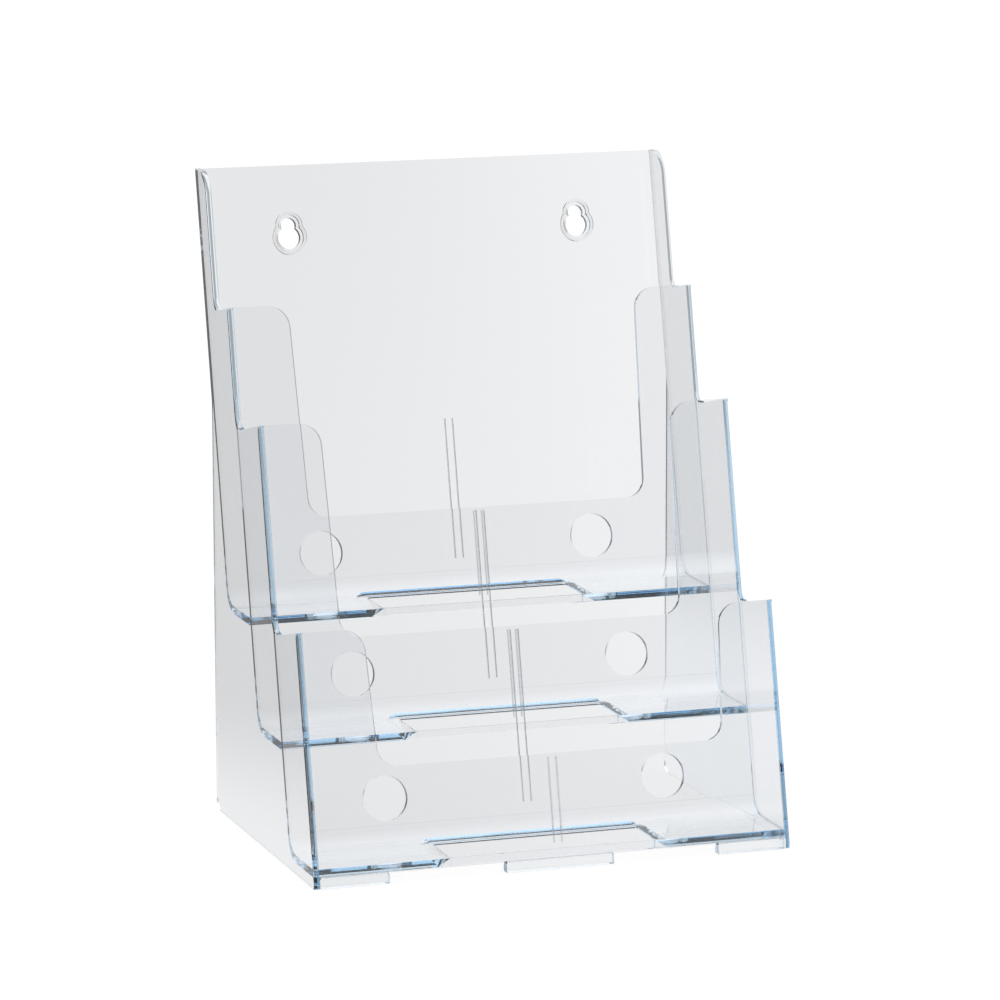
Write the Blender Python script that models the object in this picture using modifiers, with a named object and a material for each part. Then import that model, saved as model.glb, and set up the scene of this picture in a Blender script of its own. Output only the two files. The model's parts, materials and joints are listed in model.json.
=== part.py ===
"""Three-tier brochure rack in clear plastic, built as separate sheets, floors, ribs, rims and feet.

Units are metres. The rack faces -Y and stands on z = 0, and X runs across it. The origin is on the ground
under the middle of the rack; shapes are laid out from the front edge and then moved back onto it. Every
sheet wall leans back by the same angle.
"""

import math

import bmesh
import bpy
from mathutils import Matrix, Vector

# Overall size
WIDTH = 0.240
HEIGHT = 0.317
LEAN = math.radians(13.2)
SHEET = 0.0025
GAP = 0.0003

# Tiers, counted from the front: 0 front wall, 1 lower wall, 2 middle wall, 3 back panel
TIER_STEP_BACK = 0.0395
TIER_STEP_UP = 0.050
EAR_TOP = (0.1177, 0.2064, 0.2558)
CENTRE_TOP = (0.0540, 0.1056, 0.1547)
EAR_OPENING = 0.1792
EAR_TAPER = 0.0060
EAR_TOP_RADIUS = 0.011
EAR_FOOT_RADIUS = 0.0095
FRONT_CUT_SHIFT = 0.0024

# Side panels
FLANGE_DEPTH = 0.0155
FLANGE_TOP_RADIUS = 0.0125
STEP_FILLET = 0.007
KINK_HEIGHT = 0.205
REAR_FOOT_Y = 0.168
REAR_FOOT_RADIUS = 0.006
FRONT_FOOT_RADIUS = 0.002
CORNER_RADIUS = 0.0008

# Floors
FLOOR_TOP = 0.0090
FLOOR_SHEET = 0.0038
HEEL_RADIUS = 0.0105
WINDOW_WIDTH = 0.104
WINDOW_DEPTH = 0.0255
WINDOW_LIP = 0.0015
WINDOW_RIM = 0.0006
RELIEF_START = 0.0005
RELIEF_INSET = 0.0002
RELIEF_FLARE = 0.0065
RELIEF_BEHIND = 0.0150
RELIEF_OVERSHOOT = 0.0005
WINDOW_RADIUS = 0.0015

# Finger holes low in the back of each pocket
HOLE_DIAMETER = 0.022
HOLE_SPACING = 0.1418
HOLE_ABOVE_FLOOR = 0.0207

# Keyholes near the top of the back panel, and their raised rims
KEYHOLE_SPACING = 0.1504
KEYHOLE_HEIGHT = 0.2820
KEYHOLE_HEAD_RADIUS = 0.0057
KEYHOLE_NECK_RADIUS = 0.0039
KEYHOLE_NECK_RISE = 0.0060
RIM_WIDTH = 0.0015
RIM_STAND = 0.0018
RIM_CLEARANCE = 0.0014

# Divider guides: pairs of ribs down the middle of each pocket
RIB_SPACING = 0.0040
RIB_WIDTH = 0.0008
RIB_STAND = 0.0010
RIB_START = 0.0035
RIB_TOP_ROOM = 0.0015
BACK_RIB_TOP = 0.1923

# Feet under the front edge
FOOT_DEPTH = 0.0050
CORNER_FOOT_WIDTH = 0.0345
CENTRE_FOOT_WIDTH = 0.0545
FOOT_RADIUS = 0.0010

ARC_STEPS = 8
HOLE_STEPS = 56

CLEAR_SHEET = (0.86, 0.90, 0.94, 1.0)
CLEAR_EDGE = (0.70, 0.82, 0.92, 1.0)

SLOPE = math.tan(LEAN)
UP_WALL = Vector((math.sin(LEAN), math.cos(LEAN)))
OUT_OF_WALL = Vector((-math.cos(LEAN), math.sin(LEAN)))
INNER_HALF = WIDTH / 2 - SHEET - GAP
DEPTH = 3 * TIER_STEP_BACK + HEIGHT * SLOPE + SHEET / math.cos(LEAN)
TO_ORIGIN = Matrix.Translation((0.0, -DEPTH / 2, 0.0))


def clear_scene():
    for item in list(bpy.data.objects):
        bpy.data.objects.remove(item, do_unlink=True)


def new_collection(name):
    collection = bpy.data.collections.new(name)
    bpy.context.scene.collection.children.link(collection)
    return collection


def plastic(name, colour, roughness):
    """Make the Principled material of one part."""
    material = bpy.data.materials.new(name)
    material.use_nodes = True
    shader = material.node_tree.nodes["Principled BSDF"]
    shader.inputs["Base Color"].default_value = colour
    shader.inputs["Roughness"].default_value = roughness
    shader.inputs["Metallic"].default_value = 0.0
    shader.inputs["IOR"].default_value = 1.58
    shader.inputs["Transmission Weight"].default_value = 0.9
    return material


# Outlines ---------------------------------------------------------------------------------------


def rounded_outline(corners):
    """Turn (x, y, radius) corners into points, each corner with a radius becoming an arc."""
    points = []
    count = len(corners)
    for index, (x, y, radius) in enumerate(corners):
        corner = Vector((x, y))
        before = (Vector(corners[index - 1][:2]) - corner).normalized()
        after = (Vector(corners[(index + 1) % count][:2]) - corner).normalized()
        half_angle = before.angle(after) / 2
        if radius <= 0:
            points.append(corner)
            continue
        centre = corner + (before + after).normalized() * radius / math.sin(half_angle)
        start = corner + before * radius / math.tan(half_angle) - centre
        turn = math.pi - 2 * half_angle
        if before.x * after.y - before.y * after.x > 0:
            turn = -turn
        for step in range(ARC_STEPS + 1):
            angle = turn * step / ARC_STEPS
            points.append(centre + Matrix.Rotation(angle, 2) @ start)
    return points


def circle_outline(x, y, radius):
    points = []
    for step in range(HOLE_STEPS):
        angle = 2 * math.pi * step / HOLE_STEPS
        points.append(Vector((x + radius * math.cos(angle), y + radius * math.sin(angle))))
    return points


def keyhole_outline(x, y, offset):
    """Round head below, smaller neck above, joined by short waists; offset widens the whole shape."""
    head = KEYHOLE_HEAD_RADIUS + offset
    neck = KEYHOLE_NECK_RADIUS + offset
    rise = KEYHOLE_NECK_RISE
    waist = math.acos((head ** 2 + rise ** 2 - neck ** 2) / (2 * head * rise))
    neck_waist = math.acos((neck ** 2 + rise ** 2 - head ** 2) / (2 * neck * rise))
    points = []
    for step in range(HOLE_STEPS // 2 + 1):
        angle = math.pi / 2 + waist + (2 * math.pi - 2 * waist) * step / (HOLE_STEPS // 2)
        points.append(Vector((x + head * math.cos(angle), y + head * math.sin(angle))))
    for step in range(1, HOLE_STEPS // 2):
        angle = -math.pi / 2 + neck_waist + (2 * math.pi - 2 * neck_waist) * step / (HOLE_STEPS // 2)
        points.append(Vector((x + neck * math.cos(angle), y + rise + neck * math.sin(angle))))
    return points


# Building blocks --------------------------------------------------------------------------------


def sheet_part(name, outlines, thickness, matrix, material, collection):
    """Fill the outlines, the first with the others as holes, into a sheet centred on its plane."""
    curve = bpy.data.curves.new(name + "_outline", "CURVE")
    curve.dimensions = "2D"
    curve.fill_mode = "BOTH"
    curve.extrude = thickness / 2
    for outline in outlines:
        spline = curve.splines.new("POLY")
        spline.points.add(len(outline) - 1)
        for point, place in zip(spline.points, outline):
            point.co = (place.x, place.y, 0.0, 1.0)
        spline.use_cyclic_u = True
    guide = bpy.data.objects.new(name + "_outline", curve)
    collection.objects.link(guide)
    bpy.context.view_layer.update()

    graph = bpy.context.evaluated_depsgraph_get()
    mesh = bpy.data.meshes.new_from_object(guide.evaluated_get(graph))
    mesh.name = name
    bpy.data.objects.remove(guide, do_unlink=True)
    weld_and_face_out(mesh)
    return add_part(name, mesh, matrix, material, collection)


def weld_and_face_out(mesh):
    body = bmesh.new()
    body.from_mesh(mesh)
    bmesh.ops.remove_doubles(body, verts=body.verts, dist=0.00001)
    bmesh.ops.recalc_face_normals(body, faces=body.faces)
    body.to_mesh(mesh)
    body.free()


def box_mesh(name, size):
    """A box of the given size about its own origin."""
    mesh = bpy.data.meshes.new(name)
    body = bmesh.new()
    bmesh.ops.create_cube(body, size=1.0)
    bmesh.ops.scale(body, vec=Vector(size), verts=body.verts)
    body.to_mesh(mesh)
    body.free()
    return mesh


def add_part(name, mesh, matrix, material, collection):
    part = bpy.data.objects.new(name, mesh)
    part.data.materials.clear()
    part.data.materials.append(material)
    part.data.shade_smooth()
    part.data.set_sharp_from_angle(angle=math.radians(32))
    collection.objects.link(part)
    part.matrix_world = TO_ORIGIN @ matrix
    return part


def add_bevel(part, width, segments):
    bevel = part.modifiers.new("Soft edges", "BEVEL")
    bevel.width = width
    bevel.segments = segments
    bevel.limit_method = "ANGLE"
    bevel.angle_limit = math.radians(40)


def cut(part, cutter_mesh, matrix, cutters):
    cutter = bpy.data.objects.new(cutter_mesh.name, cutter_mesh)
    cutters.objects.link(cutter)
    cutter.matrix_world = TO_ORIGIN @ matrix
    cutter.hide_render = True
    cutter.display_type = "WIRE"
    boolean = part.modifiers.new("Cut " + cutter.name, "BOOLEAN")
    boolean.operation = "DIFFERENCE"
    boolean.solver = "EXACT"
    boolean.object = cutter


# Frames of reference ----------------------------------------------------------------------------


def wall_matrix(tier, out=-SHEET / 2):
    """Plane of a wall: local X across, local Y up the slope, local Z out of its front face."""
    front_line = Vector((0.0, tier * TIER_STEP_BACK, 0.0))
    shift = Vector((0.0, OUT_OF_WALL.x, OUT_OF_WALL.y)) * out
    return Matrix.Translation(front_line + shift) @ Matrix.Rotation(math.pi / 2 - LEAN, 4, "X")


def side_matrix(x):
    """Plane of a side panel: local X runs back along world Y, local Y runs up."""
    axes = Matrix(((0, 0, 1, 0), (1, 0, 0, 0), (0, 1, 0, 0), (0, 0, 0, 1)))
    return Matrix.Translation((x, 0.0, 0.0)) @ axes


def front_y(tier, height):
    """Y of a wall's front face at a height."""
    return tier * TIER_STEP_BACK + height * SLOPE


def rear_y(tier, height):
    return front_y(tier, height) + SHEET / math.cos(LEAN)


def up_slope(height):
    """Distance along a wall's front face, from the ground, at a height."""
    return height / math.cos(LEAN)


def floor_top(tier):
    """Top of the floor in front of wall number tier, from 1 to 3."""
    return FLOOR_TOP + (tier - 1) * TIER_STEP_UP


def step_corner(tier, ear_height, next_front):
    """Where the top edge of a tier, square to its wall, meets the next front edge behind it."""
    start = Vector((front_y(tier, ear_height), ear_height))
    back = -OUT_OF_WALL
    run = (next_front - start.x + start.y * SLOPE) / (back.x - back.y * SLOPE)
    return start + back * run


# Parts ------------------------------------------------------------------------------------------


def side_outline():
    """Stepped outline of a side panel, from the front foot up the steps and down the rear edge."""
    corners = [(0.0, 0.0, FRONT_FOOT_RADIUS)]
    next_fronts = (TIER_STEP_BACK, 2 * TIER_STEP_BACK, 3 * TIER_STEP_BACK - FLANGE_DEPTH)
    for tier, ear_height in enumerate(EAR_TOP):
        inner = step_corner(tier, ear_height, next_fronts[tier])
        corners.append((front_y(tier, ear_height), ear_height, CORNER_RADIUS))
        corners.append((inner.x, inner.y, STEP_FILLET))
    corners.append((front_y(3, HEIGHT) - FLANGE_DEPTH, HEIGHT, FLANGE_TOP_RADIUS))
    corners.append((rear_y(3, HEIGHT), HEIGHT, CORNER_RADIUS))
    corners.append((rear_y(3, KINK_HEIGHT), KINK_HEIGHT, STEP_FILLET))
    corners.append((REAR_FOOT_Y, 0.0, REAR_FOOT_RADIUS))
    return rounded_outline(corners)


def build_side_panels(collection):
    outline = side_outline()
    for side, name in ((-1, "left_side_panel"), (1, "right_side_panel")):
        material = plastic(name + "_plastic", CLEAR_SHEET, 0.03)
        matrix = side_matrix(side * (WIDTH - SHEET) / 2)
        sheet_part(name, [outline], SHEET, matrix, material, collection)


def wall_foot(tier):
    """Slope distance at which a wall stops above the curved heel of its own floor."""
    if tier == 0:
        return up_slope(FLOOR_TOP - FLOOR_SHEET + GAP)
    rise = HEEL_RADIUS * math.tan(math.pi / 4 - LEAN / 2)
    return up_slope(floor_top(tier)) + rise + GAP


def ear_wall_outline(tier, shift):
    """A wall with two tall ears and a low middle; the opening narrows a little downwards."""
    foot = wall_foot(tier)
    ear = up_slope(EAR_TOP[tier])
    middle = up_slope(CENTRE_TOP[tier])
    top_half = EAR_OPENING / 2
    foot_half = (EAR_OPENING - EAR_TAPER) / 2
    corners = [
        (-INNER_HALF, foot, 0.0),
        (INNER_HALF, foot, 0.0),
        (INNER_HALF, ear, CORNER_RADIUS),
        (shift + top_half, ear, EAR_TOP_RADIUS),
        (shift + foot_half, middle, EAR_FOOT_RADIUS),
        (shift - foot_half, middle, EAR_FOOT_RADIUS),
        (shift - top_half, ear, EAR_TOP_RADIUS),
        (-INNER_HALF, ear, CORNER_RADIUS),
    ]
    return rounded_outline(corners)


def finger_holes(tier):
    height = up_slope(floor_top(tier) + HOLE_ABOVE_FLOOR)
    half = HOLE_SPACING / 2
    return [circle_outline(side * half, height, HOLE_DIAMETER / 2) for side in (-1, 1)]


def build_walls(collection):
    walls = (("front_wall", 0, FRONT_CUT_SHIFT), ("lower_wall", 1, 0.0), ("middle_wall", 2, 0.0))
    for name, tier, shift in walls:
        outlines = [ear_wall_outline(tier, shift)]
        if tier > 0:
            outlines += finger_holes(tier)
        material = plastic(name + "_plastic", CLEAR_SHEET, 0.03)
        sheet_part(name, outlines, SHEET, wall_matrix(tier), material, collection)


def keyhole_places():
    height = up_slope(KEYHOLE_HEIGHT)
    half = KEYHOLE_SPACING / 2
    return [(-half, height), (half, height)]


def build_back_panel(collection):
    top = up_slope(HEIGHT)
    foot = wall_foot(3)
    corners = [
        (-INNER_HALF, foot, 0.0),
        (INNER_HALF, foot, 0.0),
        (INNER_HALF, top, CORNER_RADIUS),
        (-INNER_HALF, top, CORNER_RADIUS),
    ]
    outlines = [rounded_outline(corners)] + finger_holes(3)
    outlines += [keyhole_outline(x, y, 0.0) for x, y in keyhole_places()]
    material = plastic("back_panel_plastic", CLEAR_SHEET, 0.03)
    sheet_part("back_panel", outlines, SHEET, wall_matrix(3), material, collection)


def build_keyhole_rims(collection):
    matrix = wall_matrix(3, GAP + RIM_STAND / 2)
    for name, (x, y) in zip(("left_keyhole_rim", "right_keyhole_rim"), keyhole_places()):
        outlines = [keyhole_outline(x, y, RIM_CLEARANCE + RIM_WIDTH), keyhole_outline(x, y, RIM_CLEARANCE)]
        material = plastic(name + "_plastic", CLEAR_SHEET, 0.05)
        sheet_part(name, outlines, RIM_STAND, matrix, material, collection)


def floor_profile(tier):
    """Side view of a floor: flat shelf, curving up at the rear into the foot of the leaning wall."""
    top = floor_top(tier)
    bottom = top - FLOOR_SHEET
    nose = rear_y(tier - 1, top) + GAP
    heel_rise = HEEL_RADIUS * math.tan(math.pi / 4 - LEAN / 2)
    front_foot = Vector((front_y(tier, top), top)) + UP_WALL * heel_rise
    rear_foot = front_foot - OUT_OF_WALL * SHEET
    corners = [
        (nose, top, 0.0),
        (front_y(tier, top), top, HEEL_RADIUS),
        (front_foot.x, front_foot.y, 0.0),
        (rear_foot.x, rear_foot.y, 0.0),
        (rear_y(tier, bottom), bottom, HEEL_RADIUS + FLOOR_SHEET / 2),
        (nose, bottom, 0.0),
    ]
    return rounded_outline(corners)


def window_cutter(name, tier):
    """Upright block that opens the window in a floor, just behind the wall in front of it."""
    front = rear_y(tier - 1, floor_top(tier)) + GAP + WINDOW_LIP
    mesh = box_mesh(name, (WINDOW_WIDTH, WINDOW_DEPTH, 4 * FLOOR_SHEET))
    body = bmesh.new()
    body.from_mesh(mesh)
    upright = [edge for edge in body.edges if abs(edge.verts[0].co.z - edge.verts[1].co.z) > FLOOR_SHEET]
    bmesh.ops.bevel(body, geom=upright, offset=WINDOW_RADIUS, segments=4, affect="EDGES", profile=0.5)
    body.to_mesh(mesh)
    body.free()
    return mesh, Matrix.Translation((0.0, front + WINDOW_DEPTH / 2, floor_top(tier) - FLOOR_SHEET / 2))


def relief_cutter(name, tier):
    """Block that thins the underside round a window: flared to both sides, and open to the rear."""
    top = floor_top(tier) - WINDOW_RIM
    bottom = floor_top(tier) - FLOOR_SHEET - RELIEF_OVERSHOOT
    front = rear_y(tier - 1, floor_top(tier)) + GAP + WINDOW_LIP + RELIEF_START
    depth = WINDOW_DEPTH + RELIEF_BEHIND
    mesh = box_mesh(name, (WINDOW_WIDTH - 2 * RELIEF_INSET, depth, top - bottom))
    wide = (WINDOW_WIDTH / 2 + RELIEF_FLARE) / (WINDOW_WIDTH / 2 - RELIEF_INSET)
    for vertex in mesh.vertices:
        if vertex.co.z < 0.0:
            vertex.co.x *= wide
    return mesh, Matrix.Translation((0.0, front + depth / 2, (top + bottom) / 2))


def build_floors(collection, cutters):
    for name, tier in (("lower_floor", 1), ("middle_floor", 2), ("upper_floor", 3)):
        material = plastic(name + "_plastic", CLEAR_EDGE, 0.03)
        floor = sheet_part(name, [floor_profile(tier)], 2 * INNER_HALF, side_matrix(0.0), material, collection)
        mesh, matrix = window_cutter(name + "_window", tier)
        cut(floor, mesh, matrix, cutters)
        mesh, matrix = relief_cutter(name + "_relief", tier)
        cut(floor, mesh, matrix, cutters)


def add_rib_pair(name, tier, foot, top, facing, shift, collection):
    """Two upright ribs on one face of a wall: facing is 1 for its front face and -1 for its rear."""
    low = up_slope(foot)
    high = up_slope(top)
    out = RIB_STAND / 2 + GAP if facing > 0 else -SHEET - GAP - RIB_STAND / 2
    for side, label in ((-1, "left"), (1, "right")):
        rib_name = name + "_" + label
        place = Matrix.Translation((shift + side * RIB_SPACING / 2, (low + high) / 2, 0.0))
        mesh = box_mesh(rib_name, (RIB_WIDTH, high - low, RIB_STAND))
        material = plastic(rib_name + "_plastic", CLEAR_EDGE, 0.05)
        rib = add_part(rib_name, mesh, wall_matrix(tier, out) @ place, material, collection)
        add_bevel(rib, RIB_WIDTH / 4, 2)


def build_divider_ribs(collection):
    """Each pocket has a pair on its back wall and a facing pair on the rear of its front wall."""
    back_tops = (CENTRE_TOP[1], CENTRE_TOP[2], BACK_RIB_TOP)
    back_names = ("lower_wall_front_rib", "middle_wall_front_rib", "back_panel_rib")
    front_names = ("front_wall_rib", "lower_wall_rear_rib", "middle_wall_rear_rib")
    heel_height = HEEL_RADIUS + RIB_START
    for pocket in range(3):
        floor = floor_top(pocket + 1)
        shift = FRONT_CUT_SHIFT if pocket == 0 else 0.0
        back_top = back_tops[pocket] - RIB_TOP_ROOM
        front_top = CENTRE_TOP[pocket] - RIB_TOP_ROOM
        add_rib_pair(back_names[pocket], pocket + 1, floor + heel_height, back_top, 1, 0.0, collection)
        add_rib_pair(front_names[pocket], pocket, floor + RIB_START, front_top, -1, shift, collection)


def build_feet(collection):
    """Three flat pads under the front edge that reach the ground beside the side panels."""
    top = FLOOR_TOP - FLOOR_SHEET - GAP
    corner_centre = INNER_HALF - CORNER_FOOT_WIDTH / 2
    feet = (
        ("left_foot", -corner_centre, CORNER_FOOT_WIDTH),
        ("centre_foot", FRONT_CUT_SHIFT, CENTRE_FOOT_WIDTH),
        ("right_foot", corner_centre, CORNER_FOOT_WIDTH),
    )
    for name, x, width in feet:
        mesh = box_mesh(name, (width, FOOT_DEPTH, top))
        place = Matrix.Translation((x, front_y(0, top) + FOOT_DEPTH / 2, top / 2))
        material = plastic(name + "_plastic", CLEAR_EDGE, 0.05)
        foot = add_part(name, mesh, place, material, collection)
        add_bevel(foot, FOOT_RADIUS / 2, 2)


def main():
    clear_scene()
    rack = new_collection("brochure_rack")
    cutters = new_collection("cutters")
    build_side_panels(rack)
    build_walls(rack)
    build_back_panel(rack)
    build_keyhole_rims(rack)
    build_floors(rack, cutters)
    build_divider_ribs(rack)
    build_feet(rack)


main()
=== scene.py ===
"""Looks of the clear three-tier brochure rack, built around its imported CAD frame.

Every CAD node is replaced by a piece made from its own mesh: joints are closed, free edges are rounded, and
the plastic is a clear refracting material with a volume that turns blue where light runs along a sheet.
"""

import json
import math

import bmesh
import bpy
from mathutils import Matrix, Vector


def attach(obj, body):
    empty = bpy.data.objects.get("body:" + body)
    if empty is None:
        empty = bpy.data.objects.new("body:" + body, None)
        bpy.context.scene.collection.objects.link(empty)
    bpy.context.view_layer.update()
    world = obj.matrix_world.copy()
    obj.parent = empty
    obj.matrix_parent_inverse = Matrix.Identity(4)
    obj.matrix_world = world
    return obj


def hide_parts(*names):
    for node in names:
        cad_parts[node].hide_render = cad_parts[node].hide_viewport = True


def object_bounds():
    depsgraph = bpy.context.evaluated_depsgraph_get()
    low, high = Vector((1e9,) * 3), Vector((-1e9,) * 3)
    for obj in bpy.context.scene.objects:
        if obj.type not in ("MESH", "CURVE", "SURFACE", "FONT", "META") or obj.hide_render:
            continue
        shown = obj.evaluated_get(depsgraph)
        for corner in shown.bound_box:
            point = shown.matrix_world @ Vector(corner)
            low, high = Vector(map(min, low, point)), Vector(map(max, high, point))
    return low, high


# Directions. The walls and the back panel lean back by LEAN.
LEAN = math.radians(13.2)
RIGHT = Vector((1.0, 0.0, 0.0))
FORWARD = Vector((0.0, -1.0, 0.0))
UP = Vector((0.0, 0.0, 1.0))
UP_WALL = Vector((0.0, math.sin(LEAN), math.cos(LEAN)))
OUT_OF_WALL = Vector((0.0, -math.cos(LEAN), math.sin(LEAN)))

# Camera: metres and radians, lens and sensor in millimetres
CAMERA_PLACE = Vector((-0.8072, -2.3632, 0.6364))
CAMERA_YAW = -0.331
CAMERA_PITCH = 0.188
CAMERA_LENS = 188.0
CAMERA_SENSOR = 36.0
CAMERA_REACH = 50.0

# Pieces: how far a joined face moves to close its joint, and the radii of the rounded edges
JOIN_REACH = 0.00035
CORNER_ROUND = 0.0021
EDGE_ROUND = 0.0002
FINE_ROUND = 0.00012
CORNER_SEGMENTS = 6
EDGE_SEGMENTS = 3
SAME_PLACE = 0.00001
ON_FACE = 0.00008
FLAT_ANGLE = math.radians(0.6)
FREE_EDGE_ANGLE = math.radians(30)
SHARP_ANGLE = math.radians(35)
FACES_FRONT = -0.3
FLATTEN_WEIGHT = 100
FLATTEN_REACH = 0.0001

# Plastic: surface, then the volume inside it
IOR = 1.58
POLISH_SCALE = 18.0
POLISH_DETAIL = 4.0
POLISH_SPREAD = 0.6
POLISH_NOISE = (0.35, 0.75)
FLOW_SCALE = 9.0
FLOW_DETAIL = 2.0
FLOW_DISTORTION = 0.6
WIDE_RIPPLE = 0.000006
FINE_RIPPLE = 0.000003
CLOUD_SCALE = 6.0
CLOUD_DIM = 0.992
SHEET_TINT = (0.995, 0.994, 1.0)
THICK_TINT = (0.992, 0.993, 1.0)
ABSORB_COLOUR = (0.11, 0.56, 0.84, 1.0)
ABSORB_DENSITY = 8.0

# Stage as the camera sees it, and as it is seen through the plastic
FLOOR_SIZE = 8.0
FLOOR_DROP = 0.0002
FLOOR_ROUGHNESS = 0.9
FLOOR_GLOW = 0.95
FLOOR_GREY = 0.08
THROUGH_PLASTIC = 0.93
THROUGH_LEFT = 0.87
THROUGH_RIGHT = 0.97
THROUGH_REACH = 0.2

# Studio as the plastic reflects it: dim, with a narrow bright backdrop, a top light and two side lights.
# An edge pair gives the cosines, off the light's own direction, where the light starts and where it is full.
BACKDROP_WAY = Vector((0.325, 0.946, 0.0))
BACKDROP_SIDE = Vector((0.946, -0.325, 0.0))
STUDIO_DIM = 0.36
STUDIO_TOP = 1.5
STUDIO_SIDES = 1.1
BACKDROP_EDGE = (0.8, 0.94)
TOP_EDGE = (0.4, 0.9)
SIDES_EDGE = (0.65, 0.9)
STRIP_GLOW = 0.9
STRIP_INNER = 0.08
STRIP_OUTER = 0.3
FRONT_GLOW = 0.2
FRONT_REACH = -0.5

# Light paths
ALL_BOUNCES = 32
GLOSSY_BOUNCES = 24

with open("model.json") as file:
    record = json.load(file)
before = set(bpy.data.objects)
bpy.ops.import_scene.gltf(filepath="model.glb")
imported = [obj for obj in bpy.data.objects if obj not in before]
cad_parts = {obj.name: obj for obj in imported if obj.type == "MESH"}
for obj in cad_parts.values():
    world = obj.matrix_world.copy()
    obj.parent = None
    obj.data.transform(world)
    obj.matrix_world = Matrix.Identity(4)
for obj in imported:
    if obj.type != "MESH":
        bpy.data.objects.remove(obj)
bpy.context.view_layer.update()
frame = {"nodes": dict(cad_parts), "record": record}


# Plastic ----------------------------------------------------------------------------------------


def noise(nodes, links, place, scale, detail=2.0, distortion=0.0):
    """A noise pattern fixed to the object."""
    pattern = nodes.new("ShaderNodeTexNoise")
    pattern.inputs["Scale"].default_value = scale
    pattern.inputs["Detail"].default_value = detail
    pattern.inputs["Distortion"].default_value = distortion
    links.new(place, pattern.inputs["Vector"])
    return pattern.outputs["Fac"]


def add_polish(nodes, links, place, shader, roughness):
    """Roughness that wanders round its mean, as on a handled sheet."""
    polish = nodes.new("ShaderNodeMapRange")
    polish.inputs["From Min"].default_value = POLISH_NOISE[0]
    polish.inputs["From Max"].default_value = POLISH_NOISE[1]
    polish.inputs["To Min"].default_value = roughness * (1.0 - POLISH_SPREAD)
    polish.inputs["To Max"].default_value = roughness * (1.0 + POLISH_SPREAD)
    links.new(noise(nodes, links, place, POLISH_SCALE, POLISH_DETAIL), polish.inputs["Value"])
    links.new(polish.outputs["Result"], shader.inputs["Roughness"])


def add_ripple(nodes, links, place, shader, ripple):
    """Faint flow ripple of a moulded sheet."""
    bump = nodes.new("ShaderNodeBump")
    bump.inputs["Strength"].default_value = 1.0
    bump.inputs["Distance"].default_value = ripple
    flow = noise(nodes, links, place, FLOW_SCALE, FLOW_DETAIL, FLOW_DISTORTION)
    links.new(flow, bump.inputs["Height"])
    links.new(bump.outputs["Normal"], shader.inputs["Normal"])


def add_tint(nodes, links, place, shader, tint):
    """Tint with a slight cloud in it."""
    mix = nodes.new("ShaderNodeMix")
    mix.data_type = "RGBA"
    mix.inputs["A"].default_value = (*[channel * CLOUD_DIM for channel in tint], 1.0)
    mix.inputs["B"].default_value = (*tint, 1.0)
    links.new(noise(nodes, links, place, CLOUD_SCALE), mix.inputs["Factor"])
    links.new(mix.outputs["Result"], shader.inputs["Base Color"])


def add_depth_colour(nodes, links):
    """Volume that leaves a thin sheet clear and turns long paths through the plastic blue."""
    absorb = nodes.new("ShaderNodeVolumeAbsorption")
    absorb.inputs["Color"].default_value = ABSORB_COLOUR
    absorb.inputs["Density"].default_value = ABSORB_DENSITY
    links.new(absorb.outputs["Volume"], nodes["Material Output"].inputs["Volume"])


def plastic_material(name, tint, roughness, ripple):
    """Clear moulded polystyrene."""
    material = bpy.data.materials.new(name)
    material.use_nodes = True
    nodes = material.node_tree.nodes
    links = material.node_tree.links
    shader = nodes["Principled BSDF"]
    shader.inputs["Metallic"].default_value = 0.0
    shader.inputs["IOR"].default_value = IOR
    shader.inputs["Transmission Weight"].default_value = 1.0
    place = nodes.new("ShaderNodeTexCoord").outputs["Object"]
    add_polish(nodes, links, place, shader, roughness)
    add_ripple(nodes, links, place, shader, ripple)
    add_tint(nodes, links, place, shader, tint)
    add_depth_colour(nodes, links)
    return material


MATERIALS = {
    "clear_side": plastic_material("clear_side_plastic", SHEET_TINT, 0.012, WIDE_RIPPLE),
    "clear_wall": plastic_material("clear_wall_plastic", SHEET_TINT, 0.012, WIDE_RIPPLE),
    "clear_floor": plastic_material("clear_floor_plastic", THICK_TINT, 0.015, WIDE_RIPPLE),
    "clear_rib": plastic_material("clear_rib_plastic", THICK_TINT, 0.03, FINE_RIPPLE),
    "clear_rim": plastic_material("clear_rim_plastic", THICK_TINT, 0.02, FINE_RIPPLE),
    "clear_foot": plastic_material("clear_foot_plastic", THICK_TINT, 0.02, FINE_RIPPLE),
}
SLOTS = {entry["node"]: entry["material_slot"] for entry in frame["record"]["subparts"]}


# Pieces -----------------------------------------------------------------------------------------


def joined_faces(node):
    """The directions in which a node is joined to its neighbours."""
    if "side_panel" in node:
        return ()
    if node in ("back_panel", "middle_wall", "lower_wall"):
        return (RIGHT, -RIGHT, -UP_WALL)
    if node == "front_wall":
        return (RIGHT, -RIGHT)
    if "floor" in node:
        return (RIGHT, -RIGHT, FORWARD, UP_WALL)
    if "rim" in node:
        return (-OUT_OF_WALL,)
    if "rear_rib" in node or "front_wall_rib" in node:
        return (OUT_OF_WALL,)
    if "rib" in node:
        return (-OUT_OF_WALL,)
    return (UP,)


def far_side(body, direction):
    """Vertices of a mesh on its farthest flat face in a direction."""
    reach = max(vertex.co.dot(direction) for vertex in body.verts)
    return [vertex for vertex in body.verts if vertex.co.dot(direction) > reach - ON_FACE]


def close_joints(body, directions):
    """Push the joined faces home, and return their vertices."""
    held = set()
    for direction in directions:
        side = far_side(body, direction)
        bmesh.ops.translate(body, vec=direction * JOIN_REACH, verts=side)
        held.update(side)
    return held


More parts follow.
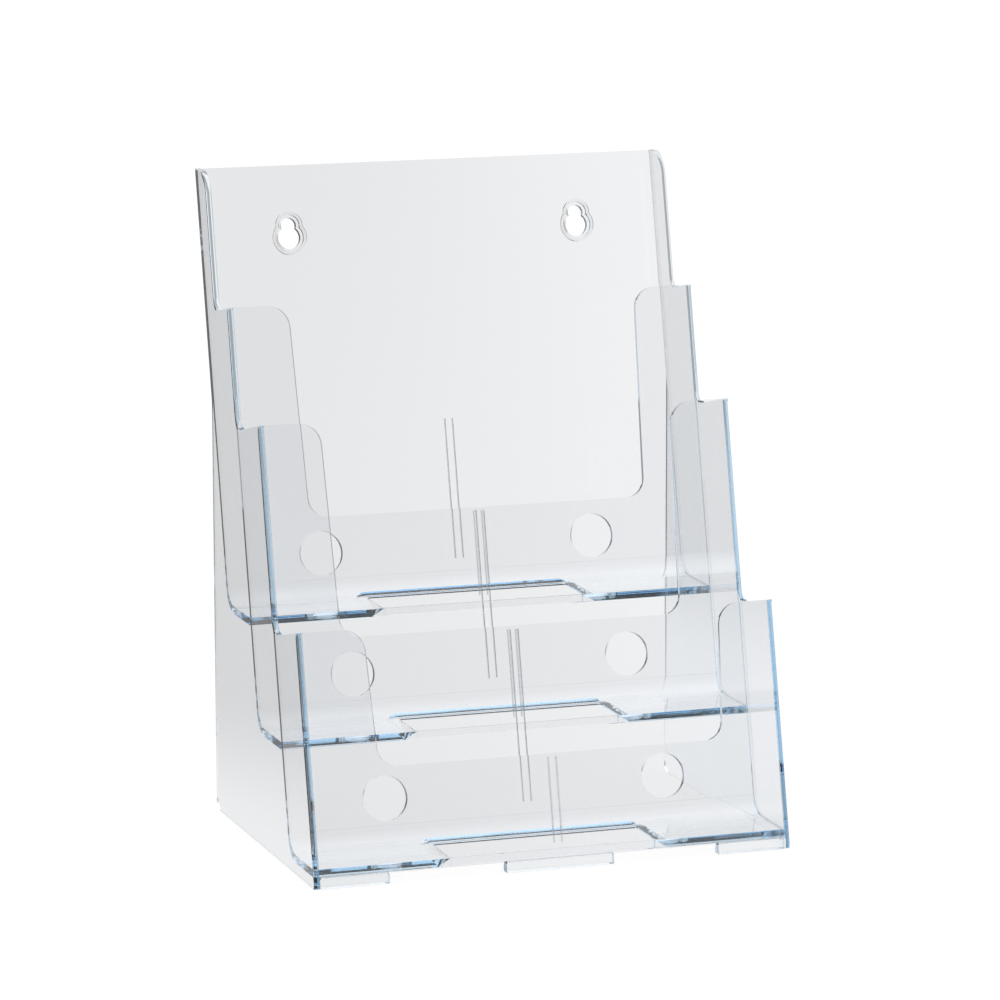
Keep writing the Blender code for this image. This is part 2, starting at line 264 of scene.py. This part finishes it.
def free_edges(body, held):
    """Sharp edges that don't lie in a joint."""
    edges = []
    for edge in body.edges:
        in_joint = edge.verts[0] in held and edge.verts[1] in held
        if not in_joint and edge.is_manifold and edge.calc_face_angle() > FREE_EDGE_ANGLE:
            edges.append(edge)
    return edges


def round_edges(body, edges, size, segments):
    """Round edges. Only the small radii are held back where edges lie close together."""
    bmesh.ops.bevel(
        body, geom=edges, offset=size, offset_type="OFFSET", segments=segments, profile=0.5,
        affect="EDGES", clamp_overlap=size < CORNER_ROUND,
    )


def round_front_corner(body):
    """Round the outer front edges of a side panel, where it turns into the walls."""
    outside = max((vertex.co.x for vertex in body.verts), key=abs)
    front = []
    for edge in free_edges(body, set()):
        on_outside = all(abs(vertex.co.x - outside) < ON_FACE for vertex in edge.verts)
        faces_front = any(face.normal.y < FACES_FRONT for face in edge.link_faces)
        if on_outside and faces_front:
            front.append(edge)
    round_edges(body, front, CORNER_ROUND, CORNER_SEGMENTS)


def clear_mesh(node):
    """The mesh of a CAD node with its joints closed and its free edges rounded."""
    body = bmesh.new()
    body.from_mesh(frame["nodes"][node].data)
    bmesh.ops.remove_doubles(body, verts=body.verts, dist=SAME_PLACE)
    bmesh.ops.dissolve_limit(body, angle_limit=FLAT_ANGLE, verts=body.verts, edges=body.edges)
    held = close_joints(body, joined_faces(node))
    if "side_panel" in node:
        round_front_corner(body)
    else:
        small = "rib" in node or "rim" in node
        round_edges(body, free_edges(body, held), FINE_ROUND if small else EDGE_ROUND, EDGE_SEGMENTS)
    bmesh.ops.recalc_face_normals(body, faces=body.faces)
    mesh = bpy.data.meshes.new(node + "_clear")
    body.to_mesh(mesh)
    body.free()
    mesh.shade_smooth()
    mesh.set_sharp_from_angle(angle=SHARP_ANGLE)
    return mesh


def keep_faces_flat(piece):
    """Let the big faces set the shading normals, so that flat sheets refract as flat sheets."""
    flatten = piece.modifiers.new("flat_faces_stay_flat", "WEIGHTED_NORMAL")
    flatten.weight = FLATTEN_WEIGHT
    flatten.thresh = FLATTEN_REACH
    flatten.keep_sharp = True


def build_piece(node):
    """Make the piece that stands for a CAD node."""
    mesh = clear_mesh(node)
    mesh.materials.append(MATERIALS[SLOTS[node]])
    piece = bpy.data.objects.new(node + "_clear", mesh)
    bpy.context.scene.collection.objects.link(piece)
    keep_faces_flat(piece)
    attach(piece, "root")
    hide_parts(node)


# Stage ------------------------------------------------------------------------------------------


def mix_by(nodes, links, factor, low, high):
    """Blend of two strengths, each a number or a socket."""
    mix = nodes.new("ShaderNodeMix")
    links.new(factor, mix.inputs["Factor"])
    for socket, value in (("A", low), ("B", high)):
        if isinstance(value, float):
            mix.inputs[socket].default_value = value
        else:
            links.new(value, mix.inputs[socket])
    return mix.outputs["Result"]


def ray_strength(nodes, links, seen, through, reflected):
    """One strength to the camera, one through clear plastic, and one for rays reflected at least once."""
    path = nodes.new("ShaderNodeLightPath")
    inside = mix_by(nodes, links, path.outputs["Glossy Depth"], through, reflected)
    return mix_by(nodes, links, path.outputs["Is Camera Ray"], inside, seen)


def ramp(nodes, links, value, start, end, low, high):
    """A smooth step from one strength to another."""
    step = nodes.new("ShaderNodeMapRange")
    step.interpolation_type = "SMOOTHSTEP"
    step.inputs["From Min"].default_value = start
    step.inputs["From Max"].default_value = end
    step.inputs["To Min"].default_value = low
    step.inputs["To Max"].default_value = high
    links.new(value, step.inputs["Value"])
    return step.outputs["Result"]


def along(nodes, links, place, way):
    """How far a place lies along a direction."""
    dot = nodes.new("ShaderNodeVectorMath")
    dot.operation = "DOT_PRODUCT"
    links.new(place, dot.inputs[0])
    dot.inputs[1].default_value = way
    return dot.outputs["Value"]


def combine(nodes, links, operation, *values):
    """One math operation on one or two sockets."""
    node = nodes.new("ShaderNodeMath")
    node.operation = operation
    for index, value in enumerate(values):
        links.new(value, node.inputs[index])
    return node.outputs["Value"]


def stage_material():
    """Plain pale floor: mostly its own even light, with a little diffuse so that the rack sits on it."""
    material = bpy.data.materials.new("pale_floor")
    material.use_nodes = True
    nodes = material.node_tree.nodes
    links = material.node_tree.links
    shader = nodes["Principled BSDF"]
    shader.inputs["Base Color"].default_value = (FLOOR_GREY, FLOOR_GREY, FLOOR_GREY, 1.0)
    shader.inputs["Roughness"].default_value = FLOOR_ROUGHNESS
    shader.inputs["Specular IOR Level"].default_value = 0.0
    shader.inputs["Emission Color"].default_value = (1.0, 1.0, 1.0, 1.0)

    place = nodes.new("ShaderNodeTexCoord").outputs["Object"]
    side = along(nodes, links, place, BACKDROP_SIDE)
    left = THROUGH_LEFT - FLOOR_GREY
    right = THROUGH_RIGHT - FLOOR_GREY
    through = ramp(nodes, links, side, -THROUGH_REACH, THROUGH_REACH, left, right)
    aside = combine(nodes, links, "ABSOLUTE", side)
    strip = ramp(nodes, links, aside, STRIP_INNER, STRIP_OUTER, STRIP_GLOW, STUDIO_DIM)
    behind = ramp(nodes, links, along(nodes, links, place, BACKDROP_WAY), FRONT_REACH, 0.0, FRONT_GLOW, 1.0)
    lit = combine(nodes, links, "MULTIPLY", strip, behind)
    strength = ray_strength(nodes, links, FLOOR_GLOW, through, lit)
    links.new(strength, shader.inputs["Emission Strength"])
    return material


def build_stage():
    """The floor, just under the rack."""
    mesh = bpy.data.meshes.new("floor")
    body = bmesh.new()
    bmesh.ops.create_grid(body, x_segments=4, y_segments=4, size=FLOOR_SIZE / 2)
    body.to_mesh(mesh)
    body.free()
    floor = bpy.data.objects.new("floor", mesh)
    bpy.context.scene.collection.objects.link(floor)
    mesh.materials.append(stage_material())
    floor.location.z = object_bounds()[0][2] - FLOOR_DROP


def build_world():
    """White surroundings to the camera; in reflections, the studio with its backdrop and lights."""
    world = bpy.data.worlds.new("studio")
    bpy.context.scene.world = world
    world.use_nodes = True
    nodes = world.node_tree.nodes
    links = world.node_tree.links
    background = nodes["Background"]
    background.inputs["Color"].default_value = (1.0, 1.0, 1.0, 1.0)

    way = nodes.new("ShaderNodeTexCoord").outputs["Generated"]
    backdrop = ramp(nodes, links, along(nodes, links, way, BACKDROP_WAY), *BACKDROP_EDGE, STUDIO_DIM, 1.0)
    overhead = ramp(nodes, links, along(nodes, links, way, UP), *TOP_EDGE, 0.0, STUDIO_TOP)
    sideways = combine(nodes, links, "ABSOLUTE", along(nodes, links, way, RIGHT))
    sides = ramp(nodes, links, sideways, *SIDES_EDGE, 0.0, STUDIO_SIDES)
    lit = combine(nodes, links, "MAXIMUM", combine(nodes, links, "MAXIMUM", backdrop, overhead), sides)
    strength = ray_strength(nodes, links, 1.0, THROUGH_PLASTIC, lit)
    links.new(strength, background.inputs["Strength"])


def build_camera():
    """Camera in front of the rack and to its left, looking slightly down."""
    camera_data = bpy.data.cameras.new("camera")
    camera_data.lens = CAMERA_LENS
    camera_data.sensor_width = CAMERA_SENSOR
    camera_data.clip_end = CAMERA_REACH
    camera = bpy.data.objects.new("camera", camera_data)
    bpy.context.scene.collection.objects.link(camera)
    turn = Matrix.Rotation(CAMERA_YAW, 4, "Z") @ Matrix.Rotation(math.pi / 2 - CAMERA_PITCH, 4, "X")
    camera.matrix_world = Matrix.Translation(CAMERA_PLACE) @ turn
    bpy.context.scene.camera = camera


def set_light_paths():
    """Enough bounces for light to cross every sheet of the rack and run along an edge."""
    cycles = bpy.context.scene.cycles
    cycles.max_bounces = ALL_BOUNCES
    cycles.transmission_bounces = ALL_BOUNCES
    cycles.glossy_bounces = GLOSSY_BOUNCES
    cycles.transparent_max_bounces = ALL_BOUNCES
    bpy.context.scene.view_settings.view_transform = "Standard"


for node in sorted(frame["nodes"]):
    build_piece(node)
build_stage()
build_world()
build_camera()
set_light_paths()
